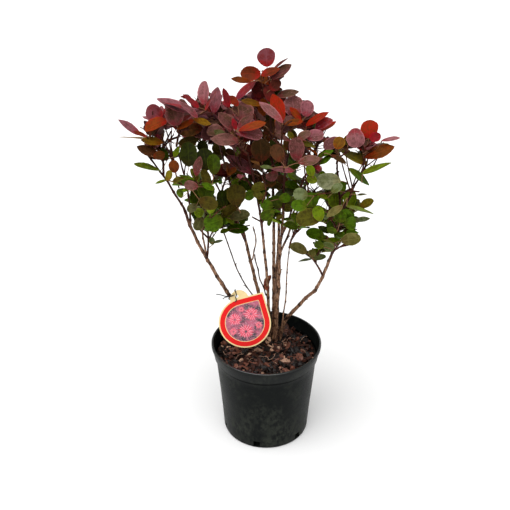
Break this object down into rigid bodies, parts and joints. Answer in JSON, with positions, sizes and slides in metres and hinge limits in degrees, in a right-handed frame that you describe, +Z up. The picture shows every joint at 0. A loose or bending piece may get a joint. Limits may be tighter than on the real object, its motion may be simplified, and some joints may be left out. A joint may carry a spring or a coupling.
{
  "type": "smoke bush in a nursery pot",
  "caption": "Young smoke bush with several bare stems and a crown of round purple to green leaves, growing from bark in a round black nursery pot, with a card label wired on.",
  "frame": {"origin": "middle of the pot's flat underside, on the ground", "axes": "+Z up the bush, -Y towards the viewer of the picture, +X to the viewer's right"},
  "size_m": [0.5167, 0.4044, 0.8102],
  "materials": {
    "pot_plastic": "black thermoformed plastic, dull, dusty towards the foot",
    "potting_bark": "moist dark bark chips",
    "stem_bark": "warm light brown bark on the old stems, dark red-brown on the young ones",
    "leaf_purple": "mauve to wine leaves with a pale bloom and pale veins",
    "leaf_bronze": "orange-brown to olive leaves",
    "leaf_green": "mid to dark green leaves with pale veins",
    "label_card": "printed card, coated",
    "tie_wire": "thin black coated wire"
  },
  "bodies": {
    "root": {"bough_back_left": "stem_bark", "bough_back_right": "stem_bark", "bough_centre_right": "stem_bark", "bough_left_front": "stem_bark", "bough_left_inner": "stem_bark", "bough_left_outer": "stem_bark", "bough_right_far": "stem_bark", "bough_right_shoulder": "stem_bark", "bough_top_right": "stem_bark", "cut_spur": "stem_bark", "dead_twig_left": "stem_bark", "dead_twig_middle": "stem_bark", "foliage_back": "leaf_purple", "foliage_back_left": "leaf_purple", "foliage_back_low_left": "leaf_green", "foliage_back_low_right": "leaf_green", "foliage_back_right": "leaf_purple", "foliage_back_side": "leaf_green", "foliage_centre_front": "leaf_purple", "foliage_centre_green": "leaf_green", "foliage_centre_inner": "leaf_purple", "foliage_centre_low": "leaf_green", "foliage_centre_right": "leaf_purple", "foliage_crest_left": "leaf_purple", "foliage_far_side": "leaf_bronze", "foliage_far_top": "leaf_purple", "foliage_front": "leaf_purple", "foliage_heart": "leaf_bronze", "foliage_left_bottom": "leaf_green", "foliage_left_green": "leaf_green", "foliage_left_low": "leaf_green", "foliage_left_shoulder": "leaf_purple", "foliage_left_side": "leaf_green", "foliage_left_tip": "leaf_purple", "foliage_left_upper": "leaf_purple", "foliage_right_front_low": "leaf_green", "foliage_right_green": "leaf_green", "foliage_right_inner": "leaf_bronze", "foliage_right_low": "leaf_green", "foliage_right_mid": "leaf_green", "foliage_right_olive": "leaf_bronze", "foliage_right_shoulder": "leaf_purple", "foliage_right_sprig": "leaf_green", "foliage_top": "leaf_purple", "foliage_top_left": "leaf_purple", "foliage_top_right": "leaf_purple", "label": "label_card", "label_tie": "tie_wire", "pot": "pot_plastic", "potting_bark": "potting_bark", "stem_back": "stem_bark", "stem_centre": "stem_bark", "stem_centre_left": "stem_bark", "stem_front": "stem_bark", "stem_left": "stem_bark", "stem_left_back": "stem_bark", "stem_right": "stem_bark", "stem_right_foot": "stem_bark", "stem_thin": "stem_bark"}
  },
  "joints": []
}
